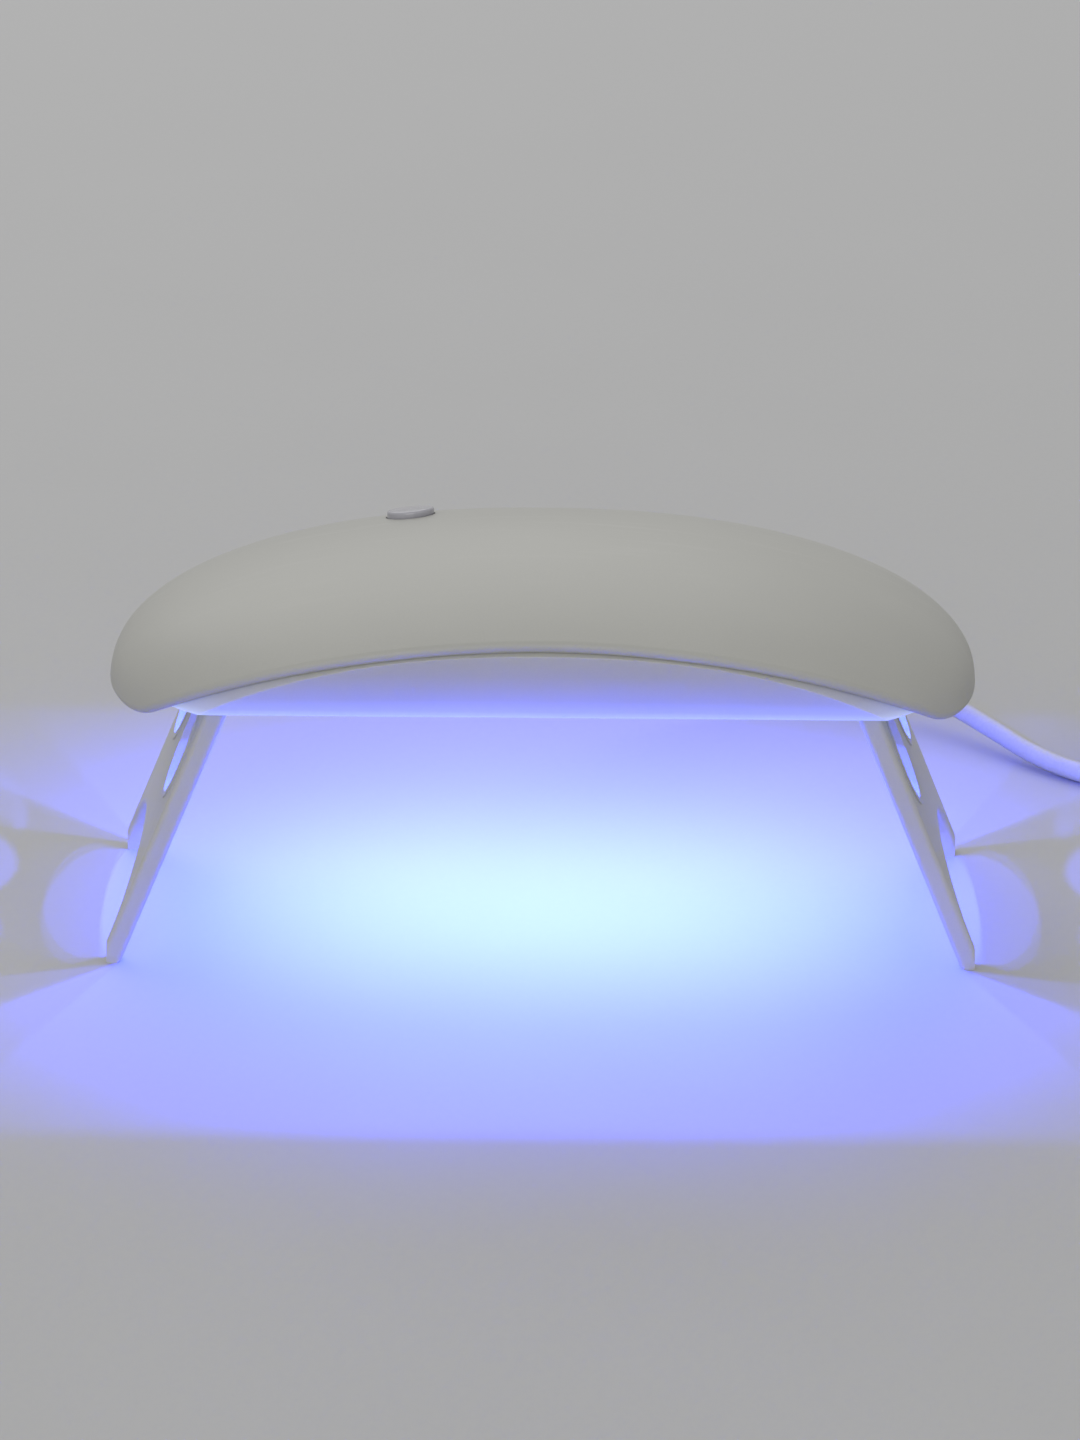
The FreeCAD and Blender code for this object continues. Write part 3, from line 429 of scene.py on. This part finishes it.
tie_x, tie_y = (value * MM for value in COIL_MIDDLE_MM)
coil_tie = add_block("coil_tie", (tie_x - TIE_HALF, tie_y + TIE_INNER, TIE_FLOOR),
                     (tie_x + TIE_HALF, tie_y + TIE_OUTER, TIE_TOP))
bpy.ops.object.mode_set(mode="EDIT")
slice_across(1, [tie_y + TIE_OUTER - TIE_BEND])
bpy.ops.object.mode_set(mode="OBJECT")
for corner in coil_tie.data.vertices:
    if corner.co.z > TIE_TOP - 0.1 * MM and corner.co.y < tie_y + TIE_OUTER - 1 * MM:
        inward = corner.co.y < tie_y + TIE_INNER + 1 * MM
        corner.co.z -= TIE_STEP if inward else TIE_SAG
pick_faces(coil_tie, lambda middle, normal: abs(normal.x) > 0.9)
bpy.ops.mesh.delete(type="FACE")
bpy.ops.object.mode_set(mode="OBJECT")
thicken(coil_tie, TIE_WALL)
soften(coil_tie, 0.18 * MM, 3)
bead = add_block("tie_bead", (tie_x - BEAD_HALF, tie_y + TIE_INNER + BEAD_START, BEAD_LOW),
                 (tie_x + BEAD_HALF, tie_y + TIE_INNER + BEAD_END, BEAD_HIGH))
soften(bead, 0.9 * MM, 4)
coil_tie.select_set(True)
bpy.context.view_layer.objects.active = coil_tie
bpy.ops.object.join()
coil_tie.data.materials.append(tie_pvc)
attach(coil_tie, "lamp")

# ------------------------------------------------------------------ moulded shell
# Cover and tray are injection moulded in white ABS with a fine spark-eroded satin surface.
# Handling leaves faint rubbed streaks. The tray's thin wall lets some light through, and a painted
# glow adds to it.
STREAK_MM = (26, 1.4, 9)
GLOW_REACH = 1.5 * MM
# Painted glow along the tray's lower edge: how far up it reaches, and its tones from the edge
# upwards.
PAINTED_GLOW_RISE = 8.0 * MM
PAINTED_GLOW_TONES = [(0.0, (0.20, 0.27, 0.55)), (0.16, (0.08, 0.11, 0.36)),
             (0.45, (0.015, 0.025, 0.14)), (1.0, (0.0, 0.0, 0.0))]
STREAK_TURN = (0.3, 0.2, 0.5)
STREAK_PLACES = (0.58, 0.72)
STREAK_POLISH = -0.07


def moulded_abs(name, dark, light, glow):
    """Satin moulding with rubbed streaks; glow is how much light passes into its wall."""
    material = finish(name, dark, light, 0.28, 0.006, (0.42, 0.5), 22)
    tree = material.node_tree
    roughness = tree.nodes["Principled BSDF"].inputs["Roughness"]
    place = add_node(tree, "TexCoord").outputs["Object"]
    stretched = add_node(tree, "Mapping", [(place, "Vector")],
                         Scale=[1 / (size * MM) for size in STREAK_MM], Rotation=STREAK_TURN)
    streak = add_node(tree, "TexNoise", [(stretched.outputs["Vector"], "Vector")],
                      Scale=1.0, Detail=4)
    rubbed = add_node(tree, "MapRange", [(streak.outputs["Fac"], "Value")],
                      From_Min=STREAK_PLACES[0], From_Max=STREAK_PLACES[1],
                      To_Min=0.0, To_Max=STREAK_POLISH)
    even = roughness.links[0].from_socket
    total = add_node(tree, "Math", [(even, 0), (rubbed.outputs["Result"], 1)], operation="ADD")
    tree.links.new(total.outputs["Value"], roughness)
    tune(material, Specular_IOR_Level=0.4, Subsurface_Weight=glow,
         Subsurface_Radius=(1.0, 1.0, 1.3), Subsurface_Scale=GLOW_REACH)
    return material


def tones_along(material, socket, axis, start, end, stops):
    """Colours an input of the main shader by the place along an axis, from start to end."""
    tree = material.node_tree
    object_place = add_node(tree, "TexCoord").outputs["Object"]
    place = add_node(tree, "SeparateXYZ", [(object_place, "Vector")])
    share = add_node(tree, "MapRange", [(place.outputs[axis], "Value")],
                     From_Min=start, From_Max=end, To_Min=0.0, To_Max=1.0)
    tree.links.new(tone_ramp(tree, share.outputs["Result"], stops),
                   tree.nodes["Principled BSDF"].inputs[socket])


cover_abs = moulded_abs("cover_abs", (0.392, 0.391, 0.364), (0.415, 0.414, 0.386), 0.0)
tray_abs = moulded_abs("tray_abs", (0.440, 0.440, 0.420), (0.465, 0.465, 0.445), 0.6)
tray_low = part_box("lower_housing")[0][2]
# Painted light: a blue glow in the emission colour, brightest at the tray's bottom edge and gone 8
# mm up, stands in for light from the emitters shining through the wall.
tones_along(tray_abs, "Emission Color", "Z", tray_low, tray_low + PAINTED_GLOW_RISE, PAINTED_GLOW_TONES)
tune(tray_abs, Emission_Strength=1.0)
dress(cover_abs, "top_cover")
dress(tray_abs, "lower_housing")

# ------------------------------------------------------------------ folding legs
# The two legs are moulded in the same white ABS and swing on steel pins. Their corners are
# handled and slid on the table, so they are a little more polished than the cover.
leg_abs = moulded_abs("leg_abs", (0.450, 0.450, 0.430), (0.480, 0.480, 0.460), 0.3)
tune(leg_abs, Coat_Weight=0.06)
dress(leg_abs, "leg_left", "leg_right")

# ------------------------------------------------------------------ hinge pins and screws
# Ground steel pins carry the legs; zinc-plated screws close the tray and hold the boards on
# turned brass spacers. Each has a fine, even grain in its finish.
pin_steel = finish("pin_steel", (0.40, 0.41, 0.43), (0.50, 0.51, 0.53),
                   0.12, 0.002, (0.2, 0.32), 2, 1.0)
screw_zinc = finish("screw_zinc", (0.36, 0.37, 0.39), (0.47, 0.48, 0.50),
                    0.2, 0.006, (0.3, 0.46), 1.5, 1.0)
turned_brass = finish("turned_brass", (0.46, 0.33, 0.12), (0.60, 0.45, 0.18),
                      0.15, 0.004, (0.22, 0.36), 1.5, 1.0)
dress(pin_steel, "hinge_pin_left", "hinge_pin_right")
dress(screw_zinc, "cover_screws", "board_screws")
dress(turned_brass, "board_spacers")

# ------------------------------------------------------------------ reflector pan
# A thin vacuum-metallised tray round the emitters: bright aluminium under clear lacquer, with a
# slow ripple from the moulded sheet below it.
pan_chrome = finish("pan_chrome", (0.72, 0.73, 0.76), (0.84, 0.85, 0.88),
                    5, 0.05, (0.05, 0.12), 12, 1.0)
dress(pan_chrome, "reflector_pan")

# ------------------------------------------------------------------ emitters
# Six ultraviolet emitters: a white ceramic base with a clear silicone dome that hangs down
# through the pan. Lit, the dome glows violet-blue, brightest at its lowest point.
LENS_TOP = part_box("light_board")[0][2] - 1.2 * MM
LENS_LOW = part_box("uv_led_1")[0][2]
EMITTERS = [f"uv_led_{number}" for number in range(1, 7)]
DOME_TONES = [(0.0, (0.62, 0.55, 1.0)), (0.6, (0.16, 0.10, 0.9)),
              (0.97, (0.05, 0.03, 0.5)), (1.0, (0.0, 0.0, 0.0))]
emitter_dome = finish("emitter_dome", (0.50, 0.49, 0.50), (0.56, 0.55, 0.57),
                      0.5, 0.004, (0.15, 0.25), 3)
tones_along(emitter_dome, "Emission Color", "Z", LENS_LOW, LENS_TOP + 0.05 * MM, DOME_TONES)
tune(emitter_dome, Emission_Strength=2.0)
dress(emitter_dome, *EMITTERS)

# Each beam starts at its chip, so the clear lenses below it don't cast a shadow and the tray's
# wall is what cuts the light off.
BEAM_DIAMETER = 2.0 * MM
BEAM_OVER_PAN = 1.0 * MM
LIT_POWER = 0.125
LIT_COLOUR = (0.050, 0.082, 1.0)
beam_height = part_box("reflector_pan")[1][2] + BEAM_OVER_PAN
for number, emitter in enumerate(EMITTERS, 1):
    low, high = (Vector(corner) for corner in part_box(emitter))
    bpy.ops.object.light_add(type="AREA", location=((low.x + high.x) / 2, (low.y + high.y) / 2,
                                                    beam_height))
    beam = bpy.context.object
    beam.name = f"emitter_beam_{number}"
    beam.data.shape = "DISK"
    beam.data.size = BEAM_DIAMETER
    beam.data.energy = LIT_POWER
    beam.data.color = LIT_COLOUR
    nodes[emitter].visible_shadow = False

# ------------------------------------------------------------------ circuit boards
# The light board is aluminium under white solder mask; the control board is glass-epoxy under
# green mask, with copper tracks that show as paler lines, and tinned pads.
TRACK_SPAN_MM = 9
PAD_SPAN_MM = 5.5
PAD_REACH = 0.1


def printed_board(name, mask_dark, mask_light, track, pad):
    """Solder mask with paler track lines and round tinned pads."""
    material = finish(name, mask_dark, mask_light, 0.5, 0.004, (0.25, 0.36), 9)
    tree = material.node_tree
    shader = tree.nodes["Principled BSDF"]
    place = add_node(tree, "TexCoord").outputs["Object"]
    tracks = add_node(tree, "TexBrick", [(place, "Vector")], Scale=1 / (TRACK_SPAN_MM * MM),
                      offset=0.37)
    tracks.inputs["Mortar Size"].default_value = 0.018
    tracks.inputs["Mortar Smooth"].default_value = 0.1
    pads = add_node(tree, "TexVoronoi", [(place, "Vector")], Scale=1 / (PAD_SPAN_MM * MM))
    is_pad = add_node(tree, "Math", [(pads.outputs["Distance"], 0)], operation="LESS_THAN")
    is_pad.inputs[1].default_value = PAD_REACH
    mask = shader.inputs["Base Color"].links[0].from_socket
    tracked = add_node(tree, "Mix", [(tracks.outputs["Fac"], "Factor"), (mask, 6)],
                       data_type="RGBA")
    tracked.inputs[7].default_value = (*track, 1)
    padded = add_node(tree, "Mix", [(is_pad.outputs["Value"], "Factor"), (tracked.outputs[2], 6)],
                      data_type="RGBA")
    padded.inputs[7].default_value = (*pad, 1)
    tree.links.new(padded.outputs[2], shader.inputs["Base Color"])
    return material


light_mask = printed_board("light_mask", (0.50, 0.51, 0.50), (0.56, 0.57, 0.56),
                           (0.60, 0.61, 0.60), (0.42, 0.42, 0.40))
control_mask = printed_board("control_mask", (0.012, 0.085, 0.035), (0.018, 0.11, 0.05),
                             (0.03, 0.17, 0.08), (0.40, 0.39, 0.36))
dress(light_mask, "light_board")
dress(control_mask, "control_board")

# ------------------------------------------------------------------ components on the boards
# Black epoxy chips, a wound choke, the board-to-board header and the tact switch under the key.
# All are small moulded parts with a matt, slightly grained surface.
chip_epoxy = finish("chip_epoxy", (0.022, 0.022, 0.024), (0.036, 0.036, 0.038),
                    0.15, 0.01, (0.5, 0.65), 3)
choke_ferrite = finish("choke_ferrite", (0.045, 0.043, 0.040), (0.075, 0.072, 0.068),
                       0.25, 0.03, (0.45, 0.6), 1.2)
header_nylon = finish("header_nylon", (0.030, 0.030, 0.032), (0.050, 0.050, 0.052),
                      0.3, 0.012, (0.4, 0.5), 3)
switch_case = finish("switch_case", (0.030, 0.030, 0.033), (0.045, 0.045, 0.048),
                     0.2, 0.01, (0.35, 0.45), 3)
switch_key = finish("switch_key", (0.16, 0.06, 0.03), (0.22, 0.09, 0.05),
                    0.3, 0.008, (0.3, 0.42), 2)
dress(chip_epoxy, "driver_chip", "timer_chip")
dress(choke_ferrite, "choke")
dress(header_nylon, "board_link")
dress(switch_case, "tact_switch")
dress(switch_key, "switch_plunger")

# ------------------------------------------------------------------ indicator and timer key
# A clear epoxy indicator sits beside the switch, and its light shows through the milky
# polycarbonate key, which is polished and slightly lilac.
indicator_epoxy = finish("indicator_epoxy", (0.44, 0.46, 0.56), (0.52, 0.54, 0.64),
                         0.4, 0.004, (0.1, 0.18), 1)
tune(indicator_epoxy, Transmission_Weight=0.4)
key_milky = finish("key_milky", (0.34, 0.335, 0.37), (0.39, 0.385, 0.42),
                   0.6, 0.003, (0.16, 0.24), 3)
tune(key_milky, Coat_Weight=0.3, Coat_Roughness=0.12)
dress(indicator_epoxy, "indicator_lamp")
dress(key_milky, "timer_button")

# ------------------------------------------------------------------ supply wires
# Two PVC-insulated wires, one red and one black, from the socket up to the control board.
WIRE_SPLIT = 0.02 * MM
wire_pvc = finish("wire_pvc", (0.5, 0.5, 0.5), (0.6, 0.6, 0.6), 0.4, 0.006, (0.3, 0.42), 2)
tones_along(wire_pvc, "Base Color", "X", -WIRE_SPLIT, WIRE_SPLIT,
            [(0.4, (0.42, 0.02, 0.015)), (0.6, (0.018, 0.018, 0.02))])
dress(wire_pvc, "supply_wires")

# ------------------------------------------------------------------ table and studio light
# A plain pale table top, an even sky, and two large soft lamps, one behind and one in front.
TABLE_SIZE = 6.0
SOFT_LAMPS = {"back_lamp": ((-0.3, 1.1, 1.3), 1.6, 10.5),
              "front_lamp": ((-0.3, -2.0, 0.6), 1.2, 12.0)}
SKY_STRENGTH = 0.56

bpy.ops.object.select_all(action="DESELECT")
bpy.ops.mesh.primitive_plane_add(size=TABLE_SIZE)
floor = bpy.context.object
floor.name = "floor"
floor.data.materials.append(finish("table_paint", (0.425, 0.425, 0.425), (0.435, 0.435, 0.435),
                                   1.5, 0.004, (0.6, 0.7), 60))

for name, (spot, size, power) in SOFT_LAMPS.items():
    bpy.ops.object.light_add(type="AREA", location=spot)
    lamp = bpy.context.object
    lamp.name = name
    lamp.data.size = size
    lamp.data.energy = power
    lamp.rotation_euler = Vector(spot).to_track_quat("Z", "Y").to_euler()

world = bpy.data.worlds.new("studio")
bpy.context.scene.world = world
world.use_nodes = True
sky = world.node_tree.nodes["Background"]
sky.inputs["Color"].default_value = (1, 1, 1, 1)
sky.inputs["Strength"].default_value = SKY_STRENGTH
